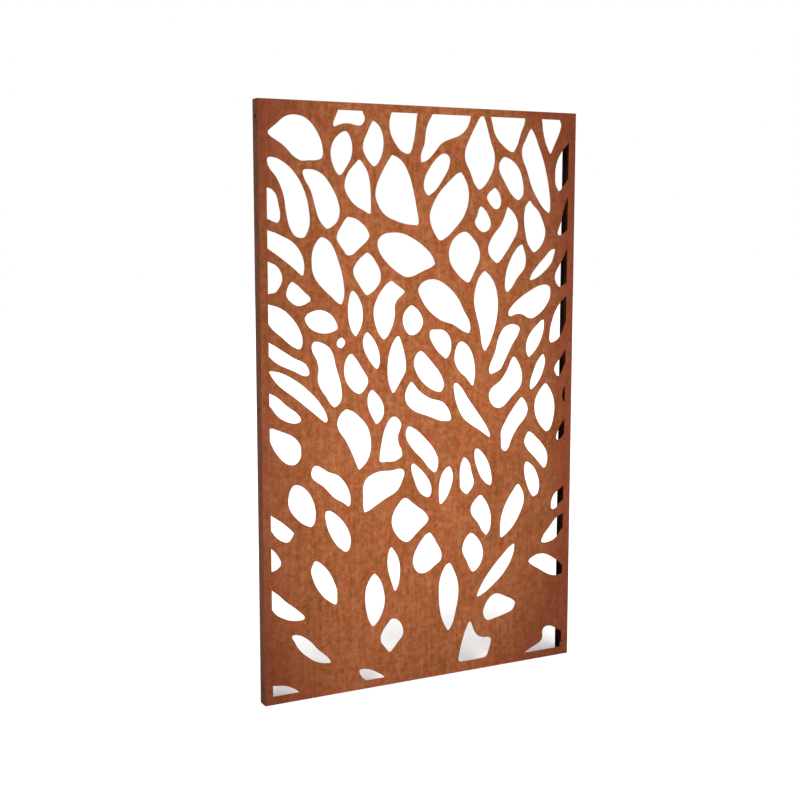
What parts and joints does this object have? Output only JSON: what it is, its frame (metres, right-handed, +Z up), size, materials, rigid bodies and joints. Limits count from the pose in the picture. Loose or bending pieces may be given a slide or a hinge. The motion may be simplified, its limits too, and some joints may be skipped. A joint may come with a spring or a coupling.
{
  "type": "laser cut metal screen",
  "caption": "Tall flat privacy screen of rusted steel: a face sheet with leaf-shaped openings on folded side channels and angle rails, bolted up through its sides.",
  "frame": {"origin": "middle of the screen's footprint, level with its bottom edge: half way across, and half way between the cut face and the rear flanges", "axes": "+Z up along the screen's height, +X to the right as one faces the cut face, +Y from the cut face to the rear, so the cut face looks along -Y"},
  "size_m": [1.1, 0.042, 1.8],
  "materials": {
    "rusted_face": "rusted weathering steel, matt, mottled orange and brown",
    "rusted_channel": "rusted weathering steel, matt, darker and more even than the face",
    "rusted_rail": "rusted weathering steel, matt, dark",
    "rusted_cleat": "rusted weathering steel, matt, dark",
    "zinc_thread": "zinc plated, dulled",
    "zinc_nut": "zinc plated, dulled"
  },
  "bodies": {
    "root": {"face_sheet": "rusted_face", "left_channel": "rusted_channel", "right_channel": "rusted_channel", "top_rail": "rusted_rail", "bottom_rail": "rusted_rail", "cleat_top_left": "rusted_cleat", "cleat_top_right": "rusted_cleat", "cleat_bottom_left": "rusted_cleat", "cleat_bottom_right": "rusted_cleat", "face_studs": "zinc_thread", "face_nuts": "zinc_nut", "cleat_studs": "zinc_thread", "cleat_nuts": "zinc_nut"}
  },
  "joints": []
}
